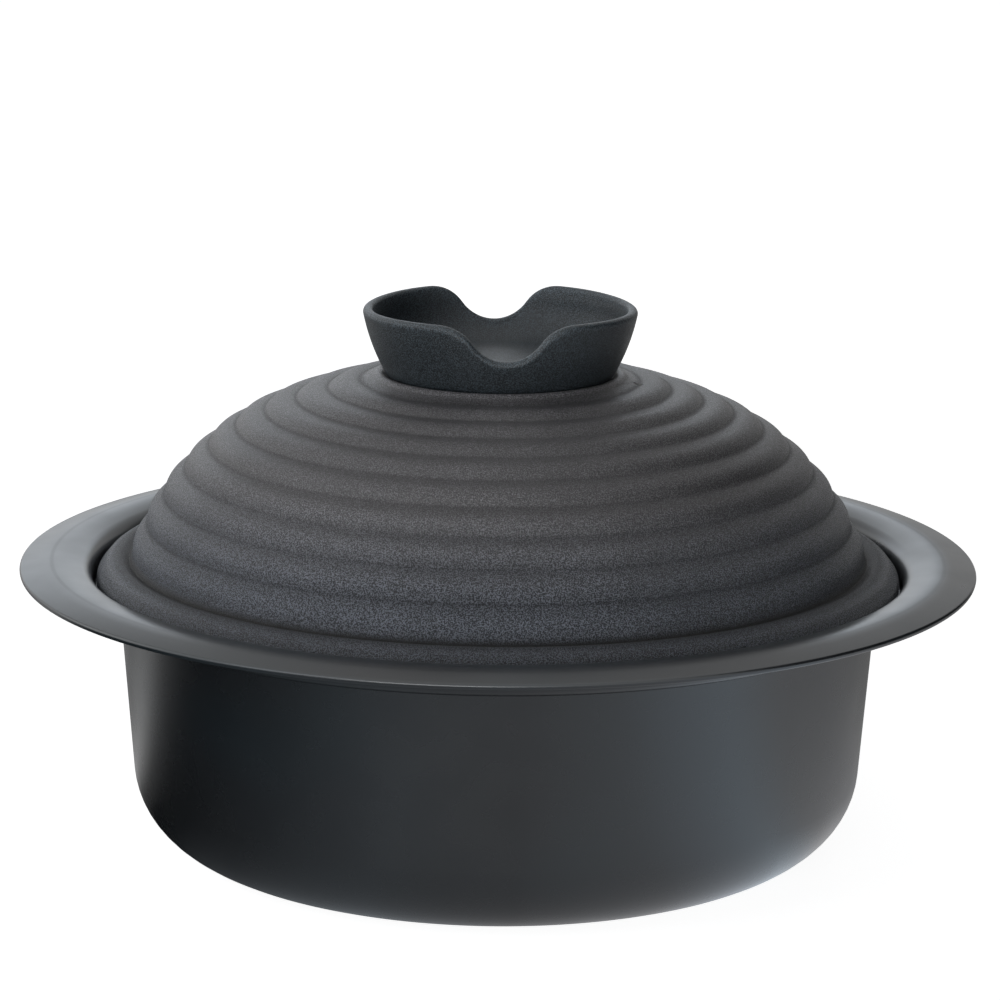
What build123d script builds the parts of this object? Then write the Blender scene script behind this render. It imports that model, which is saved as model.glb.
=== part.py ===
"""Round black iron hot pot with a wide domed flange, a ribbed domed lid and a notched cup knob."""

import os
from math import acos, asin, cos, hypot, radians, sin, tan

from build123d import *

# Pot body: one drawn sheet with a ledge for the lid and a wide domed flange
sheet = 1.8
flange_radius = 142.3
flange_top = 85.75
flange_width = 21.3
flange_crest_rise = 2.1
flange_lip_drop = 0.2
flange_bend = 5.0
flange_crest_bend = 20.0
flange_lip_rounding = 0.8
recess_depth = 7.75
recess_bend = 1.2
ledge_width = 9.5
ledge_bend = 1.6
wall_taper = 4.3
base_bend = 25.0

# Lid: a cast dome of three tangent stretches, ribbed all over, with a turned down brim
seat_gap = 0.3
brim_gap = 1.2
lid_wall = 3.3
brim_edge_height = 4.4
brim_shoulder_width = 3.0
brim_shoulder_height = 3.8
brim_slope_width = 5.2
brim_slope_height = 0.8
brim_cove_width = 2.4
brim_cove_height = 1.5
brim_cove_rounding = 4.0
brim_shoulder_rounding = 5.0
brim_edge_rounding = 3.0
brim_foot_rounding = 1.0
casting_rounding = 1.2
skirt_length = 7.2
skirt_angle = 64.6
crown_radius = 187.0
crown_angle = 20.2
rib_height = 1.1
rib_count = 9

# Knob seat: a flat disc in the middle of the lid, with a small bead round it and then the first groove
knob_seat_rise = 1.6
bead_inner_gap = 0.3
bead_width = 4.2
bead_height = 0.5
bead_fall = 0.4
bead_to_groove = 3.3
vent_radius = 1.3
vent_turn = -12.0

# Knob: a cup that flares upwards, with two opposite notches in its rim
knob_base_radius = 33.6
knob_waist_flare = 4.5
knob_waist_height = 9.6
knob_rim_flare = 7.4
knob_height = 20.7
knob_wall = 3.0
knob_floor = 4.6
cup_rounding = 12.0
rim_rounding = 1.35
rim_side_fall = 0.6
notch_depth = 10.4
notch_half_width = 20.6

# Fastening of the knob, from inside the lid
spigot_radius = 6.0
spigot_gap = 0.1
thread_radius = 2.5
thread_gap = 0.05
screw_length = 8.0
tip_gap = 0.4
head_radius = 4.75
head_height = 3.4
head_rounding = 1.5
drive_length = 5.0
drive_width = 1.1
drive_depth = 1.9
flat_washer_radius = 9.0
flat_washer_bore = 2.7
flat_washer_height = 1.4
lock_washer_radius = 4.6
lock_washer_bore = 2.6
lock_washer_height = 1.2
lock_washer_split = 0.7

# How far a cutting shape runs past what it cuts
overrun = 5.0


def parallel(points, distance):
    """The path beside a path of straight runs, at a distance to the left of its direction."""
    lines = []
    for (r0, z0), (r1, z1) in zip(points, points[1:]):
        length = hypot(r1 - r0, z1 - z0)
        along = ((r1 - r0) / length, (z1 - z0) / length)
        left = (-along[1] * distance, along[0] * distance)
        lines.append(((r0 + left[0], z0 + left[1]), along, (r1 + left[0], z1 + left[1])))
    path = [lines[0][0]]
    for (start, along, _), (other, turned, _) in zip(lines, lines[1:]):
        cross = along[0] * turned[1] - along[1] * turned[0]
        step = ((other[0] - start[0]) * turned[1] - (other[1] - start[1]) * turned[0]) / cross
        path.append((start[0] + along[0] * step, start[1] + along[1] * step))
    path.append(lines[-1][2])
    return path


def turned_solid(lines):
    """The solid of revolution of a closed outline, drawn as radius and height."""
    return revolve(Plane.XZ * make_face(lines), Axis.Z)


def disc(radius, bottom, top):
    """A plain cylinder about the axis between two heights."""
    return Pos(0, 0, (bottom + top) / 2) * Cylinder(radius, top - bottom)


# Heights and radii that several pieces share
recess_radius = flange_radius - flange_width
ledge_radius = recess_radius - ledge_width
flange_under = flange_top - sheet
ledge_top = flange_top - recess_depth
lid_foot = ledge_top + seat_gap
brim_radius = recess_radius - brim_gap
brim_edge_top = lid_foot + brim_edge_height
brim_shoulder = (brim_radius - brim_shoulder_width, brim_edge_top + brim_shoulder_height)
brim_trough = (brim_shoulder[0] - brim_slope_width, brim_shoulder[1] + brim_slope_height)
crease = (brim_trough[0] - brim_cove_width, brim_trough[1] + brim_cove_height)

# The line of the rib grooves, from the crease at the brim up to the crown
skirt_top = (
    crease[0] - skirt_length * cos(radians(skirt_angle)),
    crease[1] + skirt_length * sin(radians(skirt_angle)),
)
crown_edge_radius = crown_radius * sin(radians(crown_angle))
shoulder_radius = (skirt_top[0] - crown_edge_radius) / (
    sin(radians(skirt_angle)) - sin(radians(crown_angle))
)
crown_edge_height = skirt_top[1] + shoulder_radius * (
    cos(radians(crown_angle)) - cos(radians(skirt_angle))
)
crown_top = crown_edge_height + crown_radius * (1 - cos(radians(crown_angle)))
crown_length = crown_radius * radians(crown_angle)
shoulder_length = shoulder_radius * radians(skirt_angle - crown_angle)
dome_length = crown_length + shoulder_length + skirt_length

# The ribs share the line evenly, from the groove round the knob's bead down to the crease
bead_radius = knob_base_radius + bead_inner_gap
first_groove_radius = bead_radius + bead_width + bead_to_groove
first_groove_slope = asin(first_groove_radius / crown_radius)
first_groove = crown_radius * first_groove_slope
rib_pitch = (dome_length - first_groove) / rib_count

# Knob, its seat and its fastening
knob_waist_radius = knob_base_radius + knob_waist_flare
knob_rim_radius = knob_base_radius + knob_rim_flare
knob_seat = crown_top - crown_radius * (1 - cos(first_groove_slope)) + knob_seat_rise
lid_under = knob_seat - lid_wall
knob_top = knob_seat + knob_height
washer_bottom = lid_under - flat_washer_height
screw_seat = washer_bottom - lock_washer_height


def dome_point(run, out):
    """A point at a length from the axis along the groove line, moved outwards square to it."""
    if run <= crown_length:
        slope = run / crown_radius
        radius = crown_radius * sin(slope)
        height = crown_top - crown_radius * (1 - cos(slope))
    elif run <= crown_length + shoulder_length:
        slope = radians(crown_angle) + (run - crown_length) / shoulder_radius
        radius = crown_edge_radius + shoulder_radius * (sin(slope) - sin(radians(crown_angle)))
        height = crown_edge_height - shoulder_radius * (cos(radians(crown_angle)) - cos(slope))
    else:
        slope = radians(skirt_angle)
        left = run - crown_length - shoulder_length
        radius = skirt_top[0] + left * cos(slope)
        height = skirt_top[1] - left * sin(slope)
    return radius + out * sin(slope), height + out * cos(slope)


def pot_body():
    """One sheet: flat base, tapered wall, ledge, recess and crowned flange."""
    ledge_outer = ledge_radius + sheet
    ledge_under = ledge_top - sheet
    recess_outer = recess_radius + sheet
    base_corner = ledge_outer - ledge_under * tan(radians(wall_taper))
    outside = [
        (0, 0),
        (base_corner, 0),
        (ledge_outer, ledge_under),
        (recess_outer, ledge_under),
        (recess_outer, flange_under),
        (flange_radius - flange_width / 2, flange_under + flange_crest_rise),
        (flange_radius, flange_under - flange_lip_drop),
    ]
    inside = parallel(outside, sheet)
    outside_bends = [
        base_bend,
        ledge_bend,
        recess_bend + sheet,
        flange_bend - sheet,
        flange_crest_bend,
        flange_lip_rounding,
    ]
    inside_bends = [
        flange_lip_rounding,
        flange_crest_bend + sheet,
        flange_bend,
        recess_bend,
        ledge_bend + sheet,
        base_bend - sheet,
    ]
    rim = FilletPolyline(*outside, *reversed(inside), radius=outside_bends + inside_bends)
    axis = Line(rim @ 1, rim @ 0)
    return turned_solid(rim + axis)


def lid():
    """Ribbed dome and brim, hollow below, with the knob's seat, its hole and a steam vent."""
    bead_start = (bead_radius, knob_seat)
    bead_middle = (bead_radius + bead_width / 2, knob_seat + bead_height)
    bead_end = (bead_radius + bead_width, knob_seat - bead_fall)
    spigot_hole = spigot_radius + spigot_gap
    outline = Line((spigot_hole, lid_under), (spigot_hole, knob_seat))
    outline += Line((spigot_hole, knob_seat), bead_start)
    outline += ThreePointArc(bead_start, bead_middle, bead_end)
    outline += Line(bead_end, dome_point(first_groove, 0))
    for rib in range(rib_count):
        start = first_groove + rib * rib_pitch
        outline += ThreePointArc(
            dome_point(start, 0),
            dome_point(start + rib_pitch / 2, rib_height),
            dome_point(start + rib_pitch, 0),
        )
    skirt_and_brim = [
        skirt_top,
        crease,
        brim_trough,
        brim_shoulder,
        (brim_radius, brim_edge_top),
        (brim_radius, lid_foot),
    ]
    hollow = parallel(skirt_and_brim, -lid_wall)
    outline += FilletPolyline(
        *skirt_and_brim[1:],
        *reversed(hollow),
        radius=[
            brim_cove_rounding,
            brim_shoulder_rounding,
            brim_edge_rounding,
            brim_foot_rounding,
            brim_foot_rounding,
            casting_rounding,
            casting_rounding,
            casting_rounding,
            casting_rounding,
        ],
    )
    hollow_crown_radius = crown_radius - lid_wall
    flat_slope = acos(1 - (crown_top - lid_wall - lid_under) / hollow_crown_radius)
    flat_run = crown_radius * flat_slope
    outline += ThreePointArc(
        hollow[0],
        dome_point(crown_length + shoulder_length / 2, -lid_wall),
        dome_point(crown_length, -lid_wall),
    )
    outline += ThreePointArc(
        dome_point(crown_length, -lid_wall),
        dome_point((crown_length + flat_run) / 2, -lid_wall),
        dome_point(flat_run, -lid_wall),
    )
    outline += Line(dome_point(flat_run, -lid_wall), (spigot_hole, lid_under))
    vent = Rot(0, 0, vent_turn) * Pos(first_groove_radius, 0, 0) * disc(vent_radius, 0, knob_top)
    return turned_solid(outline) - vent


def rim_cutter():
    """What lies above the knob's rim, seen from the front: two S curves and a gentle fall."""
    bend = (notch_half_width**2 + notch_depth**2) / (4 * notch_depth)
    flank = asin(notch_half_width / (2 * bend))
    bottom = knob_top - notch_depth
    reach = knob_rim_radius + overrun
    edge = None
    for side in (-1, 1):
        low = (0, bottom)
        low_middle = (side * bend * sin(flank / 2), bottom + bend * (1 - cos(flank / 2)))
        turn = (side * notch_half_width / 2, bottom + notch_depth / 2)
        high_middle = (
            side * (notch_half_width - bend * sin(flank / 2)),
            knob_top - bend * (1 - cos(flank / 2)),
        )
        high = (side * notch_half_width, knob_top)
        end = (side * reach, knob_top - rim_side_fall)
        half = ThreePointArc(low, low_middle, turn) + ThreePointArc(turn, high_middle, high)
        half += TangentArc(high, end, tangent=(side, 0))
        half += Line(end, (side * reach, knob_top + overrun))
        edge = half if edge is None else edge + half
    edge += Line((-reach, knob_top + overrun), (reach, knob_top + overrun))
    return extrude(Plane.XZ * make_face(edge), reach, both=True)


def lid_knob():
    """The notched cup with its spigot and the blind threaded hole below its floor."""
    waist = (knob_waist_radius, knob_seat + knob_waist_height)
    outer = ThreePointArc((knob_base_radius, knob_seat), waist, (knob_rim_radius, knob_top))
    outer += Polyline((knob_rim_radius, knob_top), (0, knob_top), (0, knob_seat))
    outer += Line((0, knob_seat), (knob_base_radius, knob_seat))
    floor = knob_seat + knob_floor
    flare = (knob_waist_radius - knob_base_radius) * knob_floor / knob_waist_height
    foot = (knob_base_radius + flare - knob_wall, floor)
    wall = (knob_waist_radius - knob_wall, knob_seat + knob_waist_height)
    mouth = (knob_rim_radius - knob_wall, knob_top)
    inner = ThreePointArc(foot, wall, mouth)
    inner += Polyline(mouth, (0, knob_top), (0, floor), foot)
    hollow = turned_solid(inner)
    hollow = fillet(hollow.edges().sort_by(Axis.Z)[0], cup_rounding)
    bowl = turned_solid(outer) - hollow
    cutter = rim_cutter()
    cup = bowl - cutter
    rim = new_edges(bowl, cutter, combined=cup).filter_by(GeomType.LINE, reverse=True)
    cup = fillet(rim, rim_rounding)
    cup += disc(spigot_radius, lid_under + seat_gap, knob_seat + knob_floor / 2)
    thread_end = screw_seat + screw_length + tip_gap
    return cup - disc(thread_radius + thread_gap, 0, thread_end)


def knob_screw():
    """Pan head screw with a cross drive, its head towards the inside of the lid."""
    head = disc(head_radius, screw_seat - head_height, screw_seat)
    head = fillet(head.edges().sort_by(Axis.Z)[0], head_rounding)
    shank = disc(thread_radius, screw_seat, screw_seat + screw_length)
    slot_middle = Pos(0, 0, screw_seat - head_height)
    slot = Box(drive_length, drive_width, 2 * drive_depth)
    cross_slot = Box(drive_width, drive_length, 2 * drive_depth)
    return head + shank - slot_middle * (slot + cross_slot)


def knob_washer():
    """Flat washer that spreads the screw's load on the lid."""
    ring = disc(flat_washer_radius, washer_bottom, lid_under)
    return ring - disc(flat_washer_bore, 0, lid_under + overrun)


def knob_lock_washer():
    """Split spring washer between the screw's head and the flat washer."""
    ring = disc(lock_washer_radius, screw_seat, washer_bottom)
    ring -= disc(lock_washer_bore, 0, washer_bottom + overrun)
    split = Pos(lock_washer_radius, 0, washer_bottom)
    return ring - split * Box(2 * lock_washer_radius, lock_washer_split, 2 * overrun)


PIECES = [pot_body, lid, lid_knob, knob_screw, knob_washer, knob_lock_washer]

os.makedirs("parts", exist_ok=True)
for piece in PIECES:
    export_step(piece(), f"parts/{piece.__name__}.step")
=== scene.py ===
"""Looks of a round black iron hot pot: drawn body with a wide flange, ribbed cast lid, notched cup knob."""

from math import acos, asin, cos, hypot, pi, radians, sin, sqrt, tan

import bmesh
import bpy
from mathutils import Matrix, Vector


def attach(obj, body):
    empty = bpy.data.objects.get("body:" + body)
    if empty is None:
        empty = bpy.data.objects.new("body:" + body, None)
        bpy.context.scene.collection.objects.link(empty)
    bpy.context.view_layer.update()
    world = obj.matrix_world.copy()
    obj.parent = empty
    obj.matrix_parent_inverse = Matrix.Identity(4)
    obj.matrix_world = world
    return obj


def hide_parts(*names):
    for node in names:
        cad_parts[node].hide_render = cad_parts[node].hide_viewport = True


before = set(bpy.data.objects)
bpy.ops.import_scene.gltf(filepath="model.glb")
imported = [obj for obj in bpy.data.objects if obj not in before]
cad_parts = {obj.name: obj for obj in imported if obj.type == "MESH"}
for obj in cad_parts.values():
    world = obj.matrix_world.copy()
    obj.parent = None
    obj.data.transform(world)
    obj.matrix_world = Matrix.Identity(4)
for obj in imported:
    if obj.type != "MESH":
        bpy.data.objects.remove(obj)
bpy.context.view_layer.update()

for name in ("Cube", "Light", "Camera"):
    if name in bpy.data.objects:
        bpy.data.objects.remove(bpy.data.objects[name])
MM = 0.001


# Sizes in millimetres, the solids' own unless a comment says otherwise

# Pot body. The flange ends 0.05 short of the solid's edge, to stay inside the solids' box
sheet = 1.8
flange_radius = 142.25
flange_top = 85.75
flange_width = 21.25
flange_crest_rise = 2.1
flange_lip_drop = 0.2
flange_bend = 5.0
flange_crest_bend = 20.0
flange_lip_rounding = 0.8
recess_depth = 7.75
recess_bend = 1.2
ledge_width = 9.5
ledge_bend = 1.6
wall_taper = 4.3
base_bend = 25.0

# Lid. The photo shows a crisp dark groove in the brim beside the dome, which the solids leave out
seat_gap = 0.3
brim_gap = 1.2
lid_wall = 3.3
brim_edge_height = 4.4
brim_shoulder_width = 3.0
brim_shoulder_height = 3.8
brim_slope_width = 5.2
brim_slope_height = 0.8
brim_cove_width = 2.4
brim_cove_height = 1.5
brim_groove_width = 0.9
brim_groove_depth = 1.7
brim_groove_rounding = 0.4
brim_swell_width = 3.6
brim_swell_fall = 0.7
brim_swell_rounding = 3.0
brim_shoulder_rounding = 5.0
brim_edge_rounding = 3.0
brim_foot_rounding = 1.0
casting_rounding = 1.2
skirt_length = 7.2
skirt_angle = radians(64.6)
crown_radius = 187.0
crown_angle = radians(20.2)
rib_height = 1.1
rib_count = 9

# The ribs lean outwards and wander in height, as if turned by hand. The solids' ribs are even
rib_lean = 1.2
groove_softness = 0.06
hand_wobble = 0.5
wobbles_per_metre = 26.0
wobble_seed = 5.0

# Knob and its seat. The bead round the knob stands 0.4 higher than the solids'
knob_seat_rise = 1.6
bead_inner_gap = 0.3
bead_width = 4.2
bead_height = 0.9
bead_fall = 0.4
bead_to_groove = 3.3
vent_radius = 1.3
vent_turn = radians(-12.0)
knob_base_radius = 33.6
knob_foot_rounding = 0.5
knob_foot_break = 0.15
knob_waist_flare = 4.5
knob_waist_height = 9.6
knob_rim_flare = 7.4
knob_height = 20.7
knob_wall = 3.0
knob_floor = 4.6
cup_rounding = 12.0
rim_rounding = 1.45
rim_squareness = 0.9
rim_side_fall = 0.6
notch_depth = 10.4
notch_half_width = 20.6
spigot_radius = 6.0
spigot_gap = 0.1
thread_radius = 2.55
screw_reach = 2.5

# How finely the pieces are divided: steps round the axis, steps along an outline, and rows on flat places
turned_segments = 288
vent_segments = 32
pot_turn_step = radians(6)
brim_turn_step = radians(8)
pot_step = 8.0
brim_step = 1.6
bead_steps = 10
rib_steps = 18
hollow_steps = 30
flare_steps = 22
lip_steps = 14
cup_steps = 28
seat_rows = (14.0, 24.0)
hollow_row = 16.0
knob_under_row = 18.0
cup_floor_shares = (0.66, 0.33, 0)
merge_distance = 0.002
knob_merge_distance = 0.001
sliver_length = 0.001
rim_rounds = 4

# Painted shade, painted highlight and wear on the castings: 0 in a groove as painted shade, 1 on plain metal,
# more where painted highlight and wear make them pale, or painted light fills the knob's cup
crease_painted_shade = -0.6
brim_painted_shade_fade = 0.9
bead_foot_painted_shade = 0.3
bead_painted_highlight_gain = 2.5
cup_painted_light = 2.2
lip_wear_and_highlight_gain = 2.8
lip_wear_and_highlight_reach = 1.6
underside_margin = 1.0
groove_margin = 0.01
cup_margin = 0.1

# Heights and radii that several pieces share
recess_radius = flange_radius - flange_width
ledge_radius = recess_radius - ledge_width
flange_under = flange_top - sheet
ledge_top = flange_top - recess_depth
lid_foot = ledge_top + seat_gap
brim_radius = recess_radius - brim_gap
brim_edge_top = lid_foot + brim_edge_height
brim_shoulder = (brim_radius - brim_shoulder_width, brim_edge_top + brim_shoulder_height)
brim_trough = (brim_shoulder[0] - brim_slope_width, brim_shoulder[1] + brim_slope_height)
crease = (brim_trough[0] - brim_cove_width, brim_trough[1] + brim_cove_height)
skirt_top = (crease[0] - skirt_length * cos(skirt_angle), crease[1] + skirt_length * sin(skirt_angle))
crown_edge_radius = crown_radius * sin(crown_angle)
shoulder_radius = (skirt_top[0] - crown_edge_radius) / (sin(skirt_angle) - sin(crown_angle))
crown_edge_height = skirt_top[1] + shoulder_radius * (cos(crown_angle) - cos(skirt_angle))
crown_top = crown_edge_height + crown_radius * (1 - cos(crown_angle))
crown_length = crown_radius * crown_angle
shoulder_length = shoulder_radius * (skirt_angle - crown_angle)
dome_length = crown_length + shoulder_length + skirt_length
bead_radius = knob_base_radius + bead_inner_gap
first_groove_radius = bead_radius + bead_width + bead_to_groove
first_groove_slope = asin(first_groove_radius / crown_radius)
first_groove = crown_radius * first_groove_slope
rib_pitch = (dome_length - first_groove) / rib_count
knob_waist_radius = knob_base_radius + knob_waist_flare
knob_rim_radius = knob_base_radius + knob_rim_flare
knob_seat = crown_top - crown_radius * (1 - cos(first_groove_slope)) + knob_seat_rise
lid_under = knob_seat - lid_wall


# Camera: the photograph's angle, found by fitting the pot's rings to it

camera_distance = 1.1
camera_height = 0.3517
camera_turn = radians(-3.0)
camera_roll = radians(0.55)
camera_lens = 135.8
camera_sensor = 36.0
aim = Vector((0.0004, 0.0, 0.1033))

eye = Vector((camera_distance * sin(camera_turn), -camera_distance * cos(camera_turn), camera_height))
camera = bpy.data.objects.new("camera", bpy.data.cameras.new("camera"))
camera.data.lens = camera_lens
camera.data.sensor_width = camera_sensor
look = (aim - eye).to_track_quat("-Z", "Y").to_matrix().to_4x4()
camera.matrix_world = Matrix.Translation(eye) @ look @ Matrix.Rotation(camera_roll, 4, "Z")
bpy.context.scene.collection.objects.link(camera)
bpy.context.scene.camera = camera
bpy.context.scene.view_settings.view_transform = "Standard"


# Colour and nodes

def colour(code):
    """An sRGB hex colour as the linear values that a socket takes."""
    parts = [int(code[i : i + 2], 16) / 255 for i in (1, 3, 5)]
    return [c / 12.92 if c <= 0.04045 else ((c + 0.055) / 1.055) ** 2.4 for c in parts] + [1.0]


def add(tree, kind, inputs=None, stops=(), **settings):
    """Adds a node with its settings and links. An input is a value, or the socket or node that feeds it.
    A colour ramp takes stops, each a position and a hex colour."""
    made = tree.nodes.new(kind)
    for name, value in settings.items():
        setattr(made, name, value)
    for key, value in (inputs or {}).items():
        if isinstance(value, bpy.types.Node):
            value = value.outputs[0]
        if isinstance(value, bpy.types.NodeSocket):
            tree.links.new(value, made.inputs[key])
        else:
            made.inputs[key].default_value = value
    band = made.color_ramp.elements if stops else ()
    while len(band) < len(stops):
        band.new(0.5)
    for element, (place, code) in zip(band, stops):
        element.position = place
        element.color = colour(code)
    return made


def material(name):
    """A new material with an empty node tree."""
    made = bpy.data.materials.new(name)
    made.use_nodes = True
    made.node_tree.nodes.clear()
    return made, made.node_tree


# Studio, in metres: pale floor that is white to the camera apart from the shadow, white world, soft lamps

floor_size = 14.0
floor_drop = 0.0002
floor_glow = 0.9
room_glow = 0.13
mirrored_glow = 1.5
lamp_target = (0, 0, 0.09)


def white_room():
    """A world that is white to the camera and to mirroring metal, and lights matte surfaces only dimly."""
    world = bpy.data.worlds.new("studio_white")
    bpy.context.scene.world = world
    world.use_nodes = True
    tree = world.node_tree
    tree.nodes.clear()
    rays = add(tree, "ShaderNodeLightPath").outputs
    seen = add(tree, "ShaderNodeMath", {0: rays["Is Camera Ray"], 1: rays["Is Transmission Ray"]},
               operation="MAXIMUM")
    seen = add(tree, "ShaderNodeMath", {0: seen.outputs[0], 1: rays["Is Glossy Ray"]}, operation="MAXIMUM")
    dim = add(tree, "ShaderNodeBackground", {"Color": colour("#ffffff"), "Strength": room_glow})
    white = add(tree, "ShaderNodeBackground", {"Color": colour("#ffffff"), "Strength": 1.0})
    mix = add(tree, "ShaderNodeMixShader", {0: seen.outputs[0], 1: dim.outputs[0], 2: white.outputs[0]})
    add(tree, "ShaderNodeOutputWorld", {"Surface": mix.outputs[0]})


def pale_floor():
    """A white floor under the pot, which mirroring rays see as painted reflections of cards and daylight
    round the set.
    """
    bpy.ops.mesh.primitive_plane_add(size=floor_size, location=(0, 0, -floor_drop))
    floor = bpy.context.object
    floor.name = "floor"
    made, tree = material("pale_floor")
    rays = add(tree, "ShaderNodeLightPath").outputs
    paint = add(tree, "ShaderNodeBsdfDiffuse", {"Color": colour("#dcdcdc")})
    lift = add(tree, "ShaderNodeEmission", {"Color": colour("#ffffff"), "Strength": floor_glow})
    lit = add(tree, "ShaderNodeAddShader", {0: paint.outputs[0], 1: lift.outputs[0]})
    # Painted reflection, seen only by mirroring rays, from the back round by the left: dark as black cards
    # there, bluish bright as daylight on the front right
    place = add(tree, "ShaderNodeTexCoord").outputs["Object"]
    axes = add(tree, "ShaderNodeSeparateXYZ", {0: place}).outputs
    towards = add(tree, "ShaderNodeMath", {0: axes["Y"], 1: -1.0}, operation="MULTIPLY")
    bearing = add(tree, "ShaderNodeMath", {0: axes["X"], 1: towards.outputs[0]}, operation="ARCTAN2")
    share = add(tree, "ShaderNodeMapRange", {"Value": bearing.outputs[0], "From Min": -pi, "From Max": pi})
    mirrored = add(tree, "ShaderNodeValToRGB", {"Fac": share}, stops=[
        (0.0, "#737373"), (0.08, "#8c8c8c"), (0.14, "#747474"), (0.18, "#b2b2b2"), (0.215, "#505050"),
        (0.25, "#0a0a0a"), (0.29, "#181a1c"), (0.35, "#494c4f"), (0.43, "#82878c"), (0.5, "#8e8e90"),
        (0.575, "#b0b1b4"), (0.615, "#c8ced6"), (0.655, "#d6e0ea"), (0.7, "#c2c2c4"), (0.76, "#a4a4a6"),
        (0.84, "#7c7c7c"), (0.88, "#6a6a6a"), (0.93, "#b2b2b2"), (1.0, "#737373"),
    ])
    painted_reflection = add(tree, "ShaderNodeEmission", {"Color": mirrored, "Strength": mirrored_glow})
    mix = add(tree, "ShaderNodeMixShader", {0: rays["Is Camera Ray"], 1: paint.outputs[0], 2: lit.outputs[0]})
    mix = add(tree, "ShaderNodeMixShader", {0: rays["Is Glossy Ray"], 1: mix.outputs[0], 2: painted_reflection.outputs[0]})
    add(tree, "ShaderNodeOutputMaterial", {"Surface": mix.outputs[0]})
    floor.data.materials.append(made)


def facing(place, target):
    """Where an object stands when its lower side is turned to the target."""
    aimed = (Vector(target) - Vector(place)).to_track_quat("-Z", "Y").to_matrix().to_4x4()
    return Matrix.Translation(place) @ aimed


def flag(name, place, size, target, level):
    """A grey card that keeps the white room off one side, unseen by the camera. Its level is 1 for white."""
    bpy.ops.mesh.primitive_plane_add(size=1.0)
    card = bpy.context.object
    card.name = name
    card.matrix_world = facing(place, target) @ Matrix.Diagonal((*size, 1.0, 1.0))
    card.visible_camera = False
    card.visible_shadow = False
    made, tree = material(name + "_cloth")
    paint = add(tree, "ShaderNodeEmission", {"Color": colour("#ffffff"), "Strength": level})
    add(tree, "ShaderNodeOutputMaterial", {"Surface": paint.outputs[0]})
    card.data.materials.append(made)


def lamp(name, place, size, glow, tint=(1.0, 1.0, 1.0)):
    """A rectangular softbox that faces the pot. Its glow is its radiance, where 1 is white."""
    light = bpy.data.lights.new(name, "AREA")
    light.shape = "RECTANGLE"
    light.size, light.size_y = size
    light.energy = glow * pi * size[0] * size[1]
    light.color = tint
    made = bpy.data.objects.new(name, light)
    made.matrix_world = facing(place, lamp_target)
    made.visible_camera = False
    bpy.context.scene.collection.objects.link(made)


white_room()
pale_floor()
lamp("softbox_left", place=(-1.0, -0.75, 0.75), size=(0.7, 0.7), glow=1.35, tint=(0.94, 0.98, 1.06))
lamp("softbox_side", place=(-1.25, 0.35, 0.6), size=(0.8, 0.8), glow=0.7)
lamp("softbox_low", place=(-0.38, -1.3, 0.16), size=(0.9, 0.4), glow=5.9)
lamp("backdrop_glow", place=(-0.1, 2.0, 0.62), size=(1.7, 0.55), glow=0.6, tint=(0.8, 0.97, 1.15))
flag("flag_right", place=(0.62, 1.6, 0.7), size=(1.5, 1.4), target=(-0.6, 1.38, 0.7), level=0.58)
flag("flag_near", place=(0.85, 0.15, 0.7), size=(1.6, 1.4), target=(-0.6, 0.05, 0.7), level=0.02)
flag("flag_high", place=(0.0, 2.0, 1.65), size=(3.0, 1.5), target=(0, 0, 0.1), level=0.55)


# Materials, with their sizes in millimetres

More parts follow.
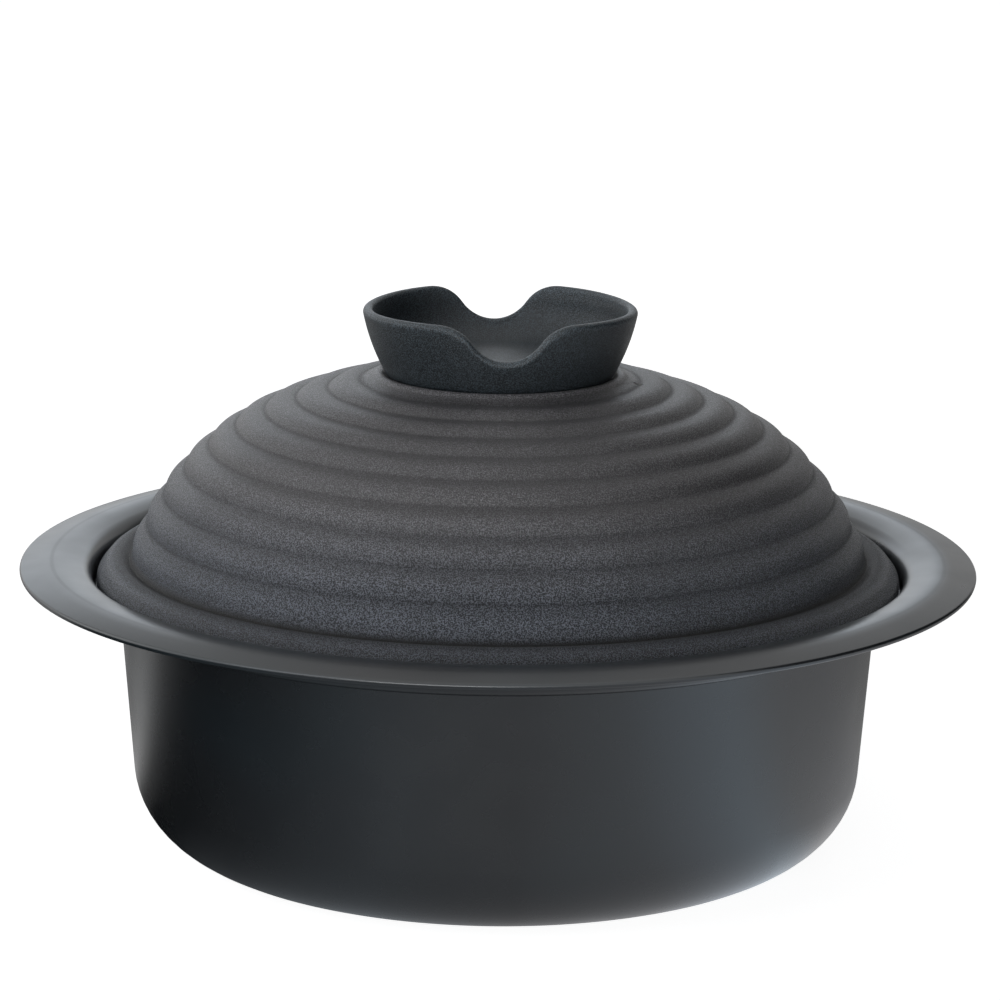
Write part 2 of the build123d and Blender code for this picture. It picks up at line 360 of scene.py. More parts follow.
def drawn_steel():
    """Drawn carbon steel under a black oxide: satin blue-black, with fine turning lines round the axis."""
    line_width, line_stretch, line_depth = 1.0, 0.012, 0.03
    polish_start, polish_end = 117.0, 123.0
    cloud_size, tint_size = 15.4, 71.4
    ring_radius, ring_core, ring_edge = 133.0, 0.3, 0.8
    made, tree = material("black_oxide_drawn_steel")
    place = add(tree, "ShaderNodeTexCoord").outputs["Object"]
    axes = add(tree, "ShaderNodeSeparateXYZ", {0: place}).outputs
    flat = add(tree, "ShaderNodeCombineXYZ", {"X": axes["X"], "Y": axes["Y"]})
    radius = add(tree, "ShaderNodeVectorMath", {0: flat.outputs[0]}, operation="LENGTH").outputs["Value"]
    # Turning lines 1 mm wide and 83 mm long, with finer ones among them, almost polished out on the flange
    around = add(tree, "ShaderNodeVectorMath", {0: flat.outputs[0], 1: (line_stretch,) * 3},
                 operation="MULTIPLY")
    rings = add(tree, "ShaderNodeCombineXYZ", {"X": radius, "Z": axes["Z"]})
    track = add(tree, "ShaderNodeVectorMath", {0: around.outputs[0], 1: rings.outputs[0]}, operation="ADD")
    lines = add(tree, "ShaderNodeTexNoise",
                {"Vector": track.outputs[0], "Scale": 1 / (line_width * MM), "Detail": 2.0})
    relief = add(tree, "ShaderNodeMapRange", {"Value": radius, "From Min": polish_start * MM,
                                              "From Max": polish_end * MM, "To Min": 0.3, "To Max": 0.05})
    # The oxide's film is cloudy, and its tint drifts between neutral and blue
    cloud = add(tree, "ShaderNodeTexNoise", {"Vector": place, "Scale": 1 / (cloud_size * MM), "Detail": 3.0})
    tint = add(tree, "ShaderNodeTexNoise",
               {"Vector": place, "Scale": 1 / (tint_size * MM), "Detail": 1.0, "Roughness": 0.4})
    base = add(tree, "ShaderNodeValToRGB", {"Fac": tint.outputs["Fac"]},
               stops=[(0.35, "#17191b"), (0.5, "#1a1d20"), (0.65, "#1b2226")])
    smooth = add(tree, "ShaderNodeMapRange", {"Value": cloud.outputs["Fac"], "To Min": 0.22, "To Max": 0.32})
    # A faint ring that the flange's die left, a little over 1 mm wide
    ring = add(tree, "ShaderNodeMath", {0: radius, 1: ring_radius * MM}, operation="SUBTRACT")
    ring = add(tree, "ShaderNodeMath", {0: ring.outputs[0]}, operation="ABSOLUTE")
    ring = add(tree, "ShaderNodeMapRange", {"Value": ring.outputs[0], "From Min": ring_core * MM,
                                            "From Max": ring_edge * MM, "To Min": 0.04, "To Max": 0.0})
    smooth = add(tree, "ShaderNodeMath", {0: smooth.outputs[0], 1: ring.outputs[0]}, operation="ADD")
    dulled = add(tree, "ShaderNodeMapRange", {"Value": radius, "From Min": polish_start * MM,
                                              "From Max": polish_end * MM, "To Min": 0.0, "To Max": 0.03})
    smooth = add(tree, "ShaderNodeMath", {0: smooth.outputs[0], 1: dulled.outputs[0]}, operation="ADD")
    bump = add(tree, "ShaderNodeBump", {"Height": lines.outputs["Fac"], "Strength": relief.outputs[0],
                                        "Distance": line_depth * MM})
    shader = add(tree, "ShaderNodeBsdfPrincipled",
                 {"Base Color": base, "Roughness": smooth.outputs[0], "Normal": bump.outputs[0], "IOR": 1.7,
                  "Specular Tint": (0.95, 0.98, 1.0, 1.0)})
    add(tree, "ShaderNodeOutputMaterial", {"Surface": shader.outputs[0]})
    return made


def cast_iron(name, grain, shades, depth, rough, cool_tint_height, cool, painted_glint):
    """Sand cast iron with a fired black finish: matte, with the mould's grain raised, and edges pale from
    wear and painted highlight.
    Below the cool tint height the grain is deeper and takes the cool tint, on the lid a painted cool light;
    painted glint adds sparkle there on the left."""
    patch_size, fade_height = 33.3, 25.0
    glint_start, glint_end = 30.0, -45.0
    made, tree = material(name)
    place = add(tree, "ShaderNodeTexCoord").outputs["Object"]
    axes = add(tree, "ShaderNodeSeparateXYZ", {0: place}).outputs
    crest = add(tree, "ShaderNodeAttribute", attribute_name="crest", attribute_type="GEOMETRY").outputs["Fac"]
    sand = add(tree, "ShaderNodeTexNoise",
               {"Vector": place, "Scale": 1 / (grain * MM), "Detail": 1.5, "Roughness": 0.6})
    patch = add(tree, "ShaderNodeTexNoise", {"Vector": place, "Scale": 1 / (patch_size * MM), "Detail": 2.0})
    low = add(tree, "ShaderNodeMapRange", {"Value": axes["Z"], "From Min": cool_tint_height * MM,
                                           "From Max": (cool_tint_height - fade_height) * MM}).outputs[0]
    # Grain: three shades from the pits to the peaks, spread wider low down and most of all on the left as
    # painted glints
    spread = add(tree, "ShaderNodeMapRange", {"Value": low, "To Min": 0.7, "To Max": 1.3})
    left = add(tree, "ShaderNodeMapRange", {"Value": axes["X"], "From Min": glint_start * MM,
                                            "From Max": glint_end * MM})
    left = add(tree, "ShaderNodeMath", {0: left.outputs[0], 1: low}, operation="MULTIPLY")
    spread = add(tree, "ShaderNodeMath", {0: left.outputs[0], 1: painted_glint, 2: spread.outputs[0]},
                 operation="MULTIPLY_ADD")
    grains = add(tree, "ShaderNodeMath", {0: sand.outputs["Fac"], 1: 0.5}, operation="SUBTRACT")
    grains = add(tree, "ShaderNodeMath", {0: grains.outputs[0], 1: spread.outputs[0], 2: 0.5},
                 operation="MULTIPLY_ADD")
    speckle = add(tree, "ShaderNodeValToRGB", {"Fac": grains}, stops=list(zip((0.4, 0.5, 0.6), shades)))
    shade = add(tree, "ShaderNodeMapRange", {"Value": patch.outputs["Fac"], "From Min": 0.3, "From Max": 0.7,
                                             "To Min": 0.88, "To Max": 1.1})
    # The crest mark is 0 in a groove, painted dark there as shade, 1 on plain metal, more where painted light
    # and wear pale it
    painted_groove_shade = add(tree, "ShaderNodeMapRange",
                 {"Value": crest, "From Min": -0.6, "From Max": 0.12, "To Min": 0.1, "To Max": 0.95})
    # Lower down the grooves are painted darker still, as deeper shade
    cut = add(tree, "ShaderNodeMapRange", {"Value": crest, "From Max": 0.25, "To Min": -0.25, "To Max": 0.0})
    painted_groove_shade = add(tree, "ShaderNodeMath", {0: cut.outputs[0], 1: low, 2: painted_groove_shade.outputs[0]},
                 operation="MULTIPLY_ADD")
    wear_and_painted_light = add(tree, "ShaderNodeMapRange", {"Value": crest, "From Min": 0.4, "From Max": 5.0, "To Max": 1.9})
    level = add(tree, "ShaderNodeMath", {0: painted_groove_shade.outputs[0], 1: wear_and_painted_light.outputs[0]}, operation="ADD")
    level = add(tree, "ShaderNodeMath", {0: shade.outputs[0], 1: level.outputs[0]}, operation="MULTIPLY")
    matte = add(tree, "ShaderNodeMapRange",
                {"Value": crest, "From Max": 0.25, "To Min": 0.55, "To Max": rough})
    plain = add(tree, "ShaderNodeVectorMath", {0: speckle, "Scale": level.outputs[0]}, operation="SCALE")
    # Below the cool tint height the colour takes the cool tint: on the lid a painted cool light, lighter and
    # bluer low down
    blued = add(tree, "ShaderNodeMix", {"Factor": low, "A": (1.0, 1.0, 1.0), "B": cool}, data_type="VECTOR")
    base = add(tree, "ShaderNodeVectorMath", {0: plain.outputs[0], 1: blued.outputs["Result"]},
               operation="MULTIPLY")
    rise = add(tree, "ShaderNodeMapRange", {"Value": low, "To Min": 0.4, "To Max": 1.0})
    bump = add(tree, "ShaderNodeBump", {"Height": sand.outputs["Fac"], "Strength": rise.outputs[0],
                                        "Distance": depth * MM})
    shader = add(tree, "ShaderNodeBsdfPrincipled",
                 {"Base Color": base.outputs[0], "Roughness": matte.outputs[0], "Normal": bump.outputs[0]})
    add(tree, "ShaderNodeOutputMaterial", {"Surface": shader.outputs[0]})
    return made


def stainless():
    """Rolled stainless steel hardware: bright, with a fine uneven satin, drawn coarse enough to show."""
    satin_grain, satin_depth = 0.4, 0.02
    made, tree = material("stainless_hardware")
    place = add(tree, "ShaderNodeTexCoord").outputs["Object"]
    satin = add(tree, "ShaderNodeTexNoise", {"Vector": place, "Scale": 1 / (satin_grain * MM), "Detail": 2.0})
    smooth = add(tree, "ShaderNodeMapRange", {"Value": satin.outputs["Fac"], "To Min": 0.22, "To Max": 0.4})
    base = add(tree, "ShaderNodeValToRGB", {"Fac": satin.outputs["Fac"]},
               stops=[(0.3, "#a9a8a4"), (0.7, "#c4c3bf")])
    bump = add(tree, "ShaderNodeBump", {"Height": satin.outputs["Fac"], "Strength": 0.2,
                                        "Distance": satin_depth * MM})
    shader = add(tree, "ShaderNodeBsdfPrincipled",
                 {"Base Color": base, "Roughness": smooth.outputs[0], "Metallic": 1.0,
                  "Normal": bump.outputs[0]})
    add(tree, "ShaderNodeOutputMaterial", {"Surface": shader.outputs[0]})
    return made


steel_finish = drawn_steel()
# The lid's cool tint low down is painted cool light, and its glint is painted sparkle on the left
lid_finish = cast_iron(
    "sand_cast_iron", grain=0.36, shades=("#2e2e30", "#494849", "#7d7c80"), depth=1.1, rough=0.4,
    cool_tint_height=120.0, cool=(1.03, 1.15, 1.27), painted_glint=2.0,
)
knob_finish = cast_iron(
    "fine_cast_iron", grain=0.36, shades=("#121517", "#222628", "#3d4346"), depth=0.2, rough=0.45,
    cool_tint_height=190.0, cool=(0.93, 1.0, 1.07), painted_glint=0.3,
)
hardware_finish = stainless()


# Outlines, drawn as radius and height

def parallel(points, distance):
    """The path beside a path of straight runs, at a distance to the left of its direction."""
    lines = []
    for (r0, z0), (r1, z1) in zip(points, points[1:]):
        length = hypot(r1 - r0, z1 - z0)
        along = ((r1 - r0) / length, (z1 - z0) / length)
        left = (-along[1] * distance, along[0] * distance)
        lines.append(((r0 + left[0], z0 + left[1]), along, (r1 + left[0], z1 + left[1])))
    path = [lines[0][0]]
    for (start, along, _), (other, turned, _) in zip(lines, lines[1:]):
        cross = along[0] * turned[1] - along[1] * turned[0]
        step = ((other[0] - start[0]) * turned[1] - (other[1] - start[1]) * turned[0]) / cross
        path.append((start[0] + along[0] * step, start[1] + along[1] * step))
    path.append(lines[-1][2])
    return path


def rounded(points, bends, turn_step):
    """The path with each inner corner rounded by its own radius, as points along every arc."""
    path = [Vector(points[0])]
    for before, corner, after, bend in zip(points, points[1:], points[2:], bends):
        corner = Vector(corner)
        back = (Vector(before) - corner).normalized()
        ahead = (Vector(after) - corner).normalized()
        half = back.angle(ahead) / 2
        middle = corner + (back + ahead).normalized() * (bend / sin(half))
        first = corner + back * (bend / tan(half))
        turn = pi - 2 * half
        side = 1 if back.cross(ahead) < 0 else -1
        count = max(3, round(turn / turn_step))
        for i in range(count + 1):
            arm = (first - middle).to_3d()
            arm.rotate(Matrix.Rotation(side * turn * i / count, 3, "Z"))
            path.append(middle + arm.to_2d())
    return path + [Vector(points[-1])]


def divided(points, longest):
    """The path with every straight run cut into pieces of about the given length at most."""
    path = [Vector(points[0])]
    for start, end in zip(points, points[1:]):
        count = max(1, round((Vector(end) - Vector(start)).length / longest + 0.49))
        path += [Vector(start).lerp(Vector(end), i / count) for i in range(1, count + 1)]
    return path


def dome_point(run, out):
    """A point at a length from the axis along the groove line, moved outwards square to it."""
    if run <= crown_length:
        slope = run / crown_radius
        radius = crown_radius * sin(slope)
        height = crown_top - crown_radius * (1 - cos(slope))
    elif run <= crown_length + shoulder_length:
        slope = crown_angle + (run - crown_length) / shoulder_radius
        radius = crown_edge_radius + shoulder_radius * (sin(slope) - sin(crown_angle))
        height = crown_edge_height - shoulder_radius * (cos(crown_angle) - cos(slope))
    else:
        slope = skirt_angle
        left = run - crown_length - shoulder_length
        radius = skirt_top[0] + left * cos(slope)
        height = skirt_top[1] - left * sin(slope)
    return radius + out * sin(slope), height + out * cos(slope)


def without_ribs(points):
    """The points of an outline, each with the length below zero that stands for a place without ribs."""
    return [(tuple(point), -1.0) for point in points]


def pot_outline():
    """One sheet from the middle of the base's underside, round the flange's lip and back inside."""
    ledge_outer = ledge_radius + sheet
    ledge_under = ledge_top - sheet
    recess_outer = recess_radius + sheet
    base_corner = ledge_outer - ledge_under * tan(radians(wall_taper))
    outside = [
        (0, 0),
        (base_corner, 0),
        (ledge_outer, ledge_under),
        (recess_outer, ledge_under),
        (recess_outer, flange_under),
        (flange_radius - flange_width / 2, flange_under + flange_crest_rise),
        (flange_radius, flange_under - flange_lip_drop),
    ]
    inside = parallel(outside, sheet)
    bends = [base_bend, ledge_bend, recess_bend + sheet, flange_bend - sheet, flange_crest_bend]
    bends += [flange_lip_rounding, flange_lip_rounding]
    bends += [flange_crest_bend + sheet, flange_bend, recess_bend, ledge_bend + sheet, base_bend - sheet]
    return without_ribs(divided(rounded(outside + inside[::-1], bends, pot_turn_step), pot_step))


def lid_outline():
    """The lid's section from its spigot hole outwards over the grooves and brim, and back underneath.
    Gives each point with its length along the groove line, which is below zero where there are no ribs."""
    hole = spigot_radius + spigot_gap
    path = without_ribs((hole, height) for height in (lid_under, (lid_under + knob_seat) / 2, knob_seat))
    path += without_ribs((radius, knob_seat) for radius in (*seat_rows, knob_base_radius))
    for i in range(bead_steps + 1):
        share = i / bead_steps
        swell = 4 * share * (1 - share) * (bead_height + bead_fall / 2)
        path.append(((bead_radius + bead_width * share, knob_seat + swell - bead_fall * share), -1.0))
    bead_end = path[-1][0]
    path += without_ribs([Vector(bead_end).lerp(Vector(dome_point(first_groove, 0)), 0.5)])
    ribs = rib_steps * rib_count
    for i in range(ribs + 1):
        run = first_groove + (dome_length - first_groove) * i / ribs
        path.append((dome_point(run, 0), run))
    skirt_and_brim = [
        skirt_top,
        crease,
        brim_trough,
        brim_shoulder,
        (brim_radius, brim_edge_top),
        (brim_radius, lid_foot),
    ]
    hollow = parallel(skirt_and_brim, -lid_wall)
    groove = (crease[0] + brim_groove_width, crease[1] - brim_groove_depth)
    swell = (crease[0] + brim_swell_width, crease[1] - brim_swell_fall)
    bends = [brim_groove_rounding, brim_swell_rounding, brim_shoulder_rounding, brim_edge_rounding]
    bends += [brim_foot_rounding] * 2 + [casting_rounding] * 4
    edge = rounded([crease, groove, swell] + skirt_and_brim[3:] + hollow[::-1], bends, brim_turn_step)
    path += without_ribs(divided(edge, brim_step)[1:])
    flat_slope = acos(1 - (crown_top - lid_wall - lid_under) / (crown_radius - lid_wall))
    flat_run = crown_radius * flat_slope
    for i in range(1, hollow_steps + 1):
        run = crown_length + shoulder_length + (flat_run - crown_length - shoulder_length) * i / hollow_steps
        path += without_ribs([dome_point(run, -lid_wall)])
    return path + without_ribs([(hollow_row, lid_under), (hole, lid_under)])


# The turning: a Geometry Nodes tree that spins an outline and raises ribs on it by a rule

def turning_tree():
    """Spins the outline round the axis, with ribs between grooves at an even pitch along the outline."""
    slack = 0.001
    nudge = 0.0001
    tree = bpy.data.node_groups.new("ribbed_turning", "GeometryNodeTree")
    sockets = tree.interface
    sockets.new_socket("Outline", in_out="INPUT", socket_type="NodeSocketGeometry")
    for label, kind in (
        ("Outline Points", "Int"), ("Segments", "Int"), ("First Groove", "Float"), ("Rib Pitch", "Float"),
        ("Rib Count", "Float"), ("Rib Height", "Float"), ("Rib Lean", "Float"), ("Groove Softness", "Float"),
        ("Hand Wobble", "Float"), ("Wobble Scale", "Float"), ("Seed", "Float"), ("Finish", "Material"),
    ):
        sockets.new_socket(label, in_out="INPUT", socket_type="NodeSocket" + kind)
    sockets.new_socket("Turned", in_out="OUTPUT", socket_type="NodeSocketGeometry")
    given = add(tree, "NodeGroupInput").outputs

    # A grid with a column for each point of the outline and a row for each step round the axis
    rows = add(tree, "ShaderNodeMath", {0: given["Segments"], 1: 1.0}, operation="ADD")
    grid = add(tree, "GeometryNodeMeshGrid",
               {"Size X": 1.0, "Size Y": 1.0, "Vertices X": given["Outline Points"], "Vertices Y": rows})
    place = add(tree, "ShaderNodeSeparateXYZ", {0: add(tree, "GeometryNodeInputPosition")}).outputs
    column = add(tree, "ShaderNodeMath", {0: place["X"], 1: 0.5}, operation="ADD")
    last = add(tree, "ShaderNodeMath", {0: given["Outline Points"], 1: 1.0}, operation="SUBTRACT")
    index = add(tree, "ShaderNodeMath", {0: column, 1: last}, operation="MULTIPLY")
    index = add(tree, "ShaderNodeMath", {0: index}, operation="ROUND")
    row = add(tree, "ShaderNodeMath", {0: place["Y"], 1: 0.5}, operation="ADD")
    turn = add(tree, "ShaderNodeMath", {0: row, 1: 2 * pi}, operation="MULTIPLY")

    # What the outline says at each column: its point, the way outwards, the length along it and its mark of
    # painted shade, highlight and wear
    kinds = {"point": "FLOAT_VECTOR", "out": "FLOAT_VECTOR", "run": "FLOAT", "crest": "FLOAT"}
    said = {}
    for name, kind in kinds.items():
        if name == "point":
            value = add(tree, "GeometryNodeInputPosition")
        else:
            value = add(tree, "GeometryNodeInputNamedAttribute", {"Name": name}, data_type=kind)
        said[name] = add(tree, "GeometryNodeSampleIndex",
                         {"Geometry": given["Outline"], "Value": value, "Index": index},
                         data_type=kind, domain="POINT").outputs["Value"]

    # Ribs stand from the first groove to the last
    past_first = add(tree, "ShaderNodeMath", {0: said["run"], 1: given["First Groove"]}, operation="SUBTRACT")
    ribs_along = add(tree, "ShaderNodeMath", {0: past_first, 1: given["Rib Pitch"]}, operation="DIVIDE")
    after_first = add(tree, "ShaderNodeMath", {0: ribs_along, 1: -slack}, operation="GREATER_THAN")
    end = add(tree, "ShaderNodeMath", {0: given["Rib Count"], 1: slack}, operation="ADD")
    before_last = add(tree, "ShaderNodeMath", {0: ribs_along, 1: end}, operation="LESS_THAN")
    ribbed = add(tree, "ShaderNodeMath", {0: after_first, 1: before_last}, operation="MULTIPLY")

    # Each rib is half a wave that leans outwards: its crest is past the middle of its pitch
    share = add(tree, "ShaderNodeMath", {0: ribs_along, 1: nudge}, operation="ADD")
    share = add(tree, "ShaderNodeMath", {0: share}, operation="FRACT")
    share = add(tree, "ShaderNodeMath", {0: share, 1: given["Rib Lean"]}, operation="POWER")
    wave = add(tree, "ShaderNodeMath", {0: share, 1: pi}, operation="MULTIPLY")
    wave = add(tree, "ShaderNodeMath", {0: wave}, operation="SINE")

    # The grooves between the ribs are softened, and a crest stays at 1
    soft = given["Groove Softness"]
    wave_square = add(tree, "ShaderNodeMath", {0: wave, 1: wave}, operation="MULTIPLY")
    soft_square = add(tree, "ShaderNodeMath", {0: soft, 1: soft}, operation="MULTIPLY")
    softened = add(tree, "ShaderNodeMath", {0: wave_square, 1: soft_square}, operation="ADD")
    softened = add(tree, "ShaderNodeMath", {0: softened}, operation="SQRT")
    softened = add(tree, "ShaderNodeMath", {0: softened, 1: soft}, operation="SUBTRACT")
    full = add(tree, "ShaderNodeMath", {0: soft_square, 1: 1.0}, operation="ADD")
    full = add(tree, "ShaderNodeMath", {0: full}, operation="SQRT")
    full = add(tree, "ShaderNodeMath", {0: full, 1: soft}, operation="SUBTRACT")
    crest = add(tree, "ShaderNodeMath", {0: softened, 1: full}, operation="DIVIDE")

    # The height wanders slowly over the lid, and the raised outline is spun into place
    spun = add(tree, "ShaderNodeVectorRotate", {"Vector": said["point"], "Angle": turn},
               rotation_type="Z_AXIS")
    wander = add(tree, "ShaderNodeTexNoise",
                 {"Vector": spun, "W": given["Seed"], "Scale": given["Wobble Scale"], "Detail": 1.0},
                 noise_dimensions="4D")
    wander = add(tree, "ShaderNodeMath", {0: wander, 1: 0.5}, operation="SUBTRACT")
    wander = add(tree, "ShaderNodeMath", {0: wander, 1: given["Hand Wobble"]}, operation="MULTIPLY")
    rise = add(tree, "ShaderNodeMath", {0: crest, 1: given["Rib Height"]}, operation="MULTIPLY")
    rise = add(tree, "ShaderNodeMath", {0: rise, 1: wander}, operation="ADD")
    rise = add(tree, "ShaderNodeMath", {0: ribbed, 1: rise}, operation="MULTIPLY")
    moved = add(tree, "ShaderNodeVectorMath", {0: said["out"], "Scale": rise}, operation="SCALE")
    raised = add(tree, "ShaderNodeVectorMath", {0: said["point"], 1: moved}, operation="ADD")
    final = add(tree, "ShaderNodeVectorRotate", {"Vector": raised, "Angle": turn}, rotation_type="Z_AXIS")

    # The crest mark is the rib's own height on a rib, which the finish paints as shade in the grooves, and
    # the outline's painted shade, highlight and wear beside the ribs
    plain = add(tree, "ShaderNodeMath", {0: 1.0, 1: ribbed}, operation="SUBTRACT")
    plain = add(tree, "ShaderNodeMath", {0: plain, 1: said["crest"]}, operation="MULTIPLY")
    mark = add(tree, "ShaderNodeMath", {0: ribbed, 1: crest}, operation="MULTIPLY")
    mark = add(tree, "ShaderNodeMath", {0: plain, 1: mark}, operation="ADD")
    marked = add(tree, "GeometryNodeStoreNamedAttribute",
                 {"Geometry": grid.outputs["Mesh"], "Name": "crest", "Value": mark},
                 data_type="FLOAT", domain="POINT")
    placed = add(tree, "GeometryNodeSetPosition", {"Geometry": marked, "Position": final})
    closed = add(tree, "GeometryNodeMergeByDistance", {"Geometry": placed, "Distance": merge_distance * MM})
    smooth = add(tree, "GeometryNodeSetShadeSmooth", {"Geometry": closed.outputs[0]})
    real = add(tree, "GeometryNodeRealizeInstances", {"Geometry": smooth.outputs[0]})
    finish = add(tree, "GeometryNodeSetMaterial", {"Geometry": real.outputs[0], "Material": given["Finish"]})
    add(tree, "NodeGroupOutput", {"Turned": finish.outputs[0]})
    return tree


def cleaned(shaped, doubles):
    """Merges the points of a shape that are closer than doubles, drops slivers and turns faces outwards."""
    bmesh.ops.remove_doubles(shaped, verts=shaped.verts, dist=doubles * MM)
    bmesh.ops.dissolve_degenerate(shaped, edges=shaped.edges, dist=sliver_length * MM)
    bmesh.ops.recalc_face_normals(shaped, faces=shaped.faces)


def linked(name, mesh):
    """A new object in the scene."""
    made = bpy.data.objects.new(name, mesh)
    bpy.context.scene.collection.objects.link(made)
    return made


def plain_mesh(source, name):
    """The evaluated object as a plain mesh object, with its faces turned outwards. The source is removed."""
    depsgraph = bpy.context.evaluated_depsgraph_get()
    mesh = bpy.data.meshes.new_from_object(source.evaluated_get(depsgraph))
    mesh.name = name
    shaped = bmesh.new()
    shaped.from_mesh(mesh)
    cleaned(shaped, merge_distance)
    shaped.to_mesh(mesh)
    shaped.free()
    bpy.data.objects.remove(source)
    return linked(name, mesh)


def bored(piece, radius, place, bottom, top):
    """The piece with an upright round hole through it."""
    middle = [v * MM for v in (*place, (bottom + top) / 2)]
    bpy.ops.mesh.primitive_cylinder_add(vertices=vent_segments, radius=radius * MM,
                                        depth=(top - bottom) * MM, location=middle)
    drill = bpy.context.object
    cut = piece.modifiers.new("hole", "BOOLEAN")
    cut.operation = "DIFFERENCE"
    cut.solver = "EXACT"
    cut.object = drill
    made = plain_mesh(piece, piece.name)
    bpy.data.objects.remove(drill)
    return made


def painted_shade_and_highlight(place):
    """The mark of a point beside the ribs: painted shade, darkest in the crease beside the brim and next to
    the bead, and painted highlight, palest on the bead.
    """
    radius, height = place
    on_top = height > lid_under + underside_margin
    # The bead's top is painted highlight; its foot and the flat out to the first groove are painted shade
    if bead_radius <= radius <= bead_radius + bead_width and on_top:
        return bead_foot_painted_shade + bead_painted_highlight_gain * sin(pi * (radius - bead_radius) / bead_width)
    if bead_radius + bead_width < radius < first_groove_radius - groove_margin and on_top:
        return bead_foot_painted_shade
    if radius < crease[0] or height < brim_edge_top:
        return 1.0
    # The brim is painted shade, darkest in the crease beside the dome and fading to plain metal by the
    # shoulder
    return min(1.0, brim_painted_shade_fade * (radius - crease[0]) / (brim_shoulder[0] - crease[0]) + crease_painted_shade)


def turned(name, outline, finish, ribs):
    """A turned piece from an outline in millimetres, each point with its length along the groove line."""
    points = [point for point, _ in outline]
    edges = [(i, i + 1) for i in range(len(points) - 1)]
    mesh = bpy.data.meshes.new(name + "_outline")
    mesh.from_pydata([(radius * MM, 0, height * MM) for radius, height in points], edges, [])
    outwards = []
    for before, after in zip(points[:1] + points[:-1], points[1:] + points[-1:]):
        along = (Vector(after) - Vector(before)).normalized()
        outwards += [abs(along.y), 0, abs(along.x)]
    mesh.attributes.new("out", "FLOAT_VECTOR", "POINT").data.foreach_set("vector", outwards)
    mesh.attributes.new("run", "FLOAT", "POINT").data.foreach_set("value", [run * MM for _, run in outline])
    mesh.attributes.new("crest", "FLOAT", "POINT").data.foreach_set("value", [painted_shade_and_highlight(p) for p in points])
    source = linked(name + "_outline", mesh)
    modifier = source.modifiers.new("turning", "NODES")
    modifier.node_group = turning
    sizes = {"Outline Points": len(points), "Segments": turned_segments, "Finish": finish, **ribs}
    for item in turning.interface.items_tree:
        if item.in_out == "INPUT" and item.name in sizes:
            modifier[item.identifier] = sizes[item.name]
    return plain_mesh(source, name)


turning = turning_tree()
no_ribs = {
    "First Groove": 1.0,
    "Rib Pitch": 1.0,
    "Rib Count": 0.0,
    "Rib Height": 0.0,
    "Rib Lean": 1.0,
    "Groove Softness": 0.1,
    "Hand Wobble": 0.0,
    "Wobble Scale": wobbles_per_metre,
    "Seed": 3.0,
}
lid_ribs = {
    "First Groove": first_groove * MM,
    "Rib Pitch": rib_pitch * MM,
    "Rib Count": float(rib_count),
    "Rib Height": rib_height * MM,
    "Rib Lean": rib_lean,
    "Groove Softness": groove_softness,
    "Hand Wobble": hand_wobble * MM,
    "Wobble Scale": wobbles_per_metre,
    "Seed": wobble_seed,
}
pot = turned("drawn_pot_body", pot_outline(), steel_finish, no_ribs)
lid = turned("ribbed_lid", lid_outline(), lid_finish, lid_ribs)
vent_place = (first_groove_radius * cos(vent_turn), first_groove_radius * sin(vent_turn))
lid = bored(lid, vent_radius, vent_place, lid_under - lid_wall, knob_seat + lid_wall)


# Knob: a cup whose rim rises and falls round the axis

def rim_line(x):
    """Height of the knob's rim above its seat at a distance to the side of the notches' middle."""
    x = abs(x)
    bend = (notch_half_width**2 + notch_depth**2) / (4 * notch_depth)
    if x <= notch_half_width / 2:
        return knob_height - notch_depth + bend * (1 - cos(asin(x / bend)))
    if x <= notch_half_width:
        return knob_height - bend * (1 - cos(asin((notch_half_width - x) / bend)))
    return knob_height - rim_side_fall * ((x - notch_half_width) / (knob_rim_radius - notch_half_width)) ** 2


def circle_through(a, b, c):
    """Centre and radius of the circle through three points."""
    (ax, ay), (bx, by), (cx, cy) = a, b, c
    d = 2 * (ax * (by - cy) + bx * (cy - ay) + cx * (ay - by))
    x = ((ax**2 + ay**2) * (by - cy) + (bx**2 + by**2) * (cy - ay) + (cx**2 + cy**2) * (ay - by)) / d
    y = ((ax**2 + ay**2) * (cx - bx) + (bx**2 + by**2) * (ax - cx) + (cx**2 + cy**2) * (bx - ax)) / d
    return (x, y), hypot(ax - x, ay - y)


flare_centre, flare_radius = circle_through(
    (knob_base_radius, 0), (knob_waist_radius, knob_waist_height), (knob_rim_radius, knob_height)
)


def flare(height):
    """The knob's outer radius at a height above its seat."""
    return flare_centre[0] + sqrt(flare_radius**2 - (height - flare_centre[1]) ** 2)


def cup(height):
    """The cup's inner radius at a height above the knob's seat: along the flare, then round to the floor."""
    bend_height = knob_floor + cup_rounding
    if height >= bend_height:
        return flare(height) - knob_wall
    middle = flare(bend_height) - knob_wall - cup_rounding
    return middle + sqrt(max(0.0, cup_rounding**2 - (bend_height - height) ** 2))


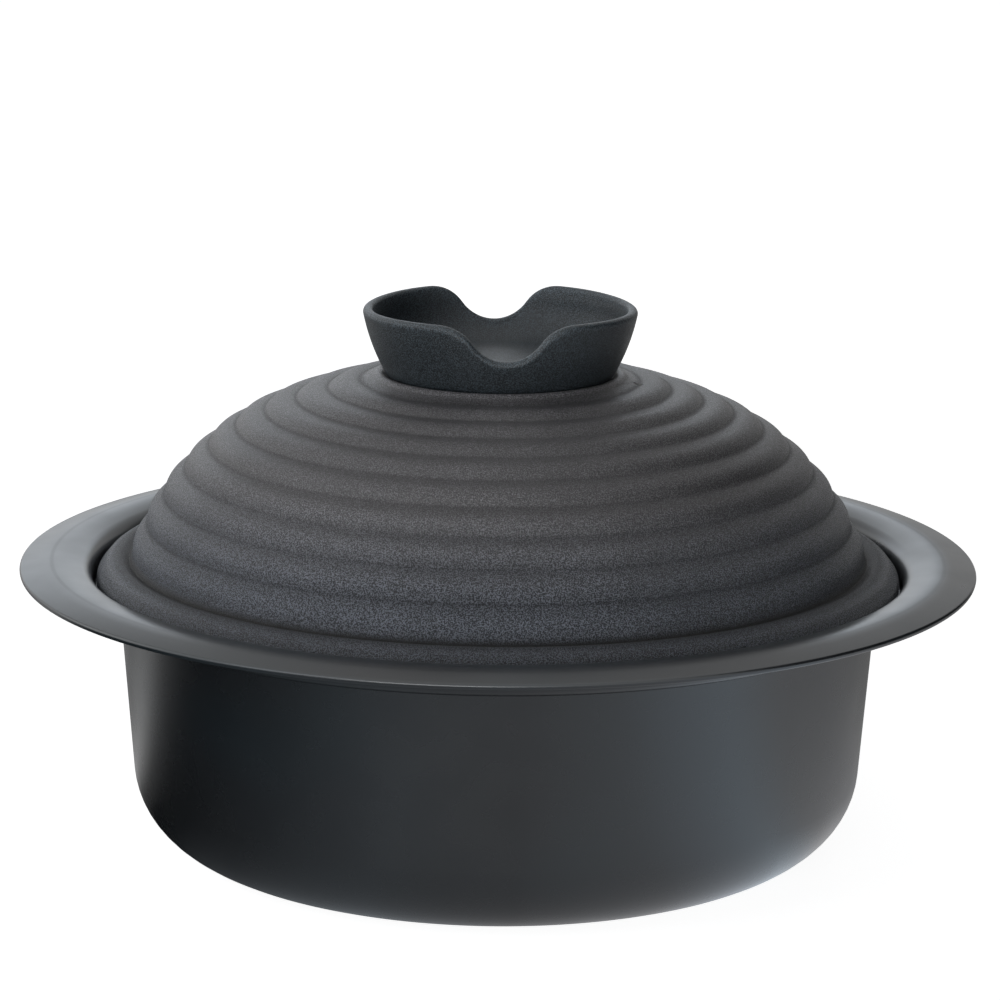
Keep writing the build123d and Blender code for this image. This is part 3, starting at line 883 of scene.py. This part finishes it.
def knob_section(turn):
    """The knob's section at one turn round the axis, from under its middle to the middle of its floor."""
    # The rim's radius and its height depend on each other, and a few rounds settle both
    rim = rim_line(knob_rim_radius * sin(turn))
    for _ in range(rim_rounds):
        rim = rim_line(flare(rim) * sin(turn))
    spigot_foot = seat_gap - lid_wall
    foot = knob_foot_rounding
    path = [(0, screw_reach), (thread_radius, screw_reach), (thread_radius, spigot_foot)]
    path += [(spigot_radius, spigot_foot), (spigot_radius, 0), (knob_under_row, 0)]
    path += [(knob_base_radius - foot, 0), (knob_base_radius - knob_foot_break, knob_foot_break)]
    crown = rim - rim_rounding
    for i in range(flare_steps + 1):
        height = foot + (crown - foot) * i / flare_steps
        path.append((flare(height), height))
    outer, inner = flare(crown), cup(crown)
    for i in range(1, lip_steps):
        swing = pi * i / lip_steps
        across = (outer - inner) / 2 * cos(swing)
        path.append(((outer + inner) / 2 + across, crown + rim_rounding * sin(swing) ** rim_squareness))
    for i in range(cup_steps + 1):
        height = knob_floor + (crown - knob_floor) * (1 - i / cup_steps) ** 2
        path.append((cup(height), height))
    floor_edge = path[-1][0]
    return path + [(floor_edge * share, knob_floor) for share in cup_floor_shares]


def knob_wear_and_painted_light(place):
    """The knob's mark at a point: painted light in the cup, and wear with painted highlight, palest on the
    lip.
    """
    height = place.z - knob_seat
    below_lip = rim_line(place.x) - height
    above_floor = height > knob_floor - cup_margin
    in_cup = above_floor and hypot(place.x, place.y) < flare(height) - knob_wall / 2
    near_lip = max(0.0, 1 - below_lip / (lip_wear_and_highlight_reach * rim_rounding)) ** 0.5
    return (cup_painted_light if in_cup else 1.0) + lip_wear_and_highlight_gain * near_lip


def notched_knob():
    """The knob as rings of its section, one for each step round the axis."""
    shaped = bmesh.new()
    rings = []
    for i in range(turned_segments):
        turn = 2 * pi * i / turned_segments
        rings.append([
            shaped.verts.new((r * sin(turn) * MM, r * cos(turn) * MM, (knob_seat + z) * MM))
            for r, z in knob_section(turn)
        ])
    for ring, after in zip(rings, rings[1:] + rings[:1]):
        for a, b, c, d in zip(ring, ring[1:], after[1:], after):
            shaped.faces.new((a, b, c, d))
    cleaned(shaped, knob_merge_distance)
    for face in shaped.faces:
        face.smooth = True
    mesh = bpy.data.meshes.new("notched_knob")
    shaped.to_mesh(mesh)
    shaped.free()
    # The crest mark paints light into the cup and a pale lip of wear and painted highlight
    mark = mesh.attributes.new("crest", "FLOAT", "POINT")
    mark.data.foreach_set("value", [knob_wear_and_painted_light(v.co / MM) for v in mesh.vertices])
    mesh.materials.append(knob_finish)
    return linked("notched_knob", mesh)


knob = notched_knob()

for piece, body, node, slot in (
    (pot, "pot", "pot_body", "black_oxide_sheet"),
    (lid, "lid_assembly", "lid", "sand_cast_iron"),
    (knob, "lid_assembly", "lid_knob", "fine_cast_iron"),
):
    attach(piece, body)
    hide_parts(node)

for node in ("knob_screw", "knob_washer", "knob_lock_washer"):
    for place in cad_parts[node].material_slots:
        place.material = hardware_finish
